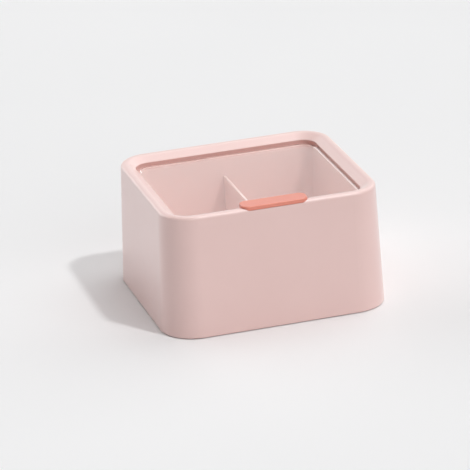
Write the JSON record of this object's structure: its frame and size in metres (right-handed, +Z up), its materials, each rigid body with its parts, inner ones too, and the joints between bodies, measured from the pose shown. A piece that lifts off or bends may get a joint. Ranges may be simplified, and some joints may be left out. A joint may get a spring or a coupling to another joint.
{
  "type": "cotton pad dispenser",
  "caption": "Tapered box with rounded corners and a divided tray under a clear inset lid that swings up on side axles, lifted by a coral tab that lies in the front rim.",
  "frame": {"origin": "on the table, under the middle of the box", "axes": "+X to the right, +Y to the back, +Z up; the pull tab is at the front"},
  "size_m": [0.145, 0.13, 0.08],
  "materials": {
    "pink_plastic": "satin moulded",
    "clear_plastic": "clear, polished",
    "coral_plastic": "satin moulded",
    "steel": "plain",
    "rubber": "matt"
  },
  "bodies": {
    "box": {"outer_shell": "pink_plastic", "inner_tray": "pink_plastic", "divider": "pink_plastic", "base_plate": "pink_plastic", "base_screws": "steel", "foot_pad_front_left": "rubber", "foot_pad_front_right": "rubber", "foot_pad_back_left": "rubber", "foot_pad_back_right": "rubber"},
    "lid": {"lid_panel": "clear_plastic", "pull_tab": "coral_plastic"}
  },
  "joints": [
    {"name": "lid_hinge", "type": "hinge", "parent": "box", "child": "lid", "pos_m": [0, 0.041, 0.0725], "axis": [-1, 0, 0], "range_deg": [0, 125]}
  ]
}
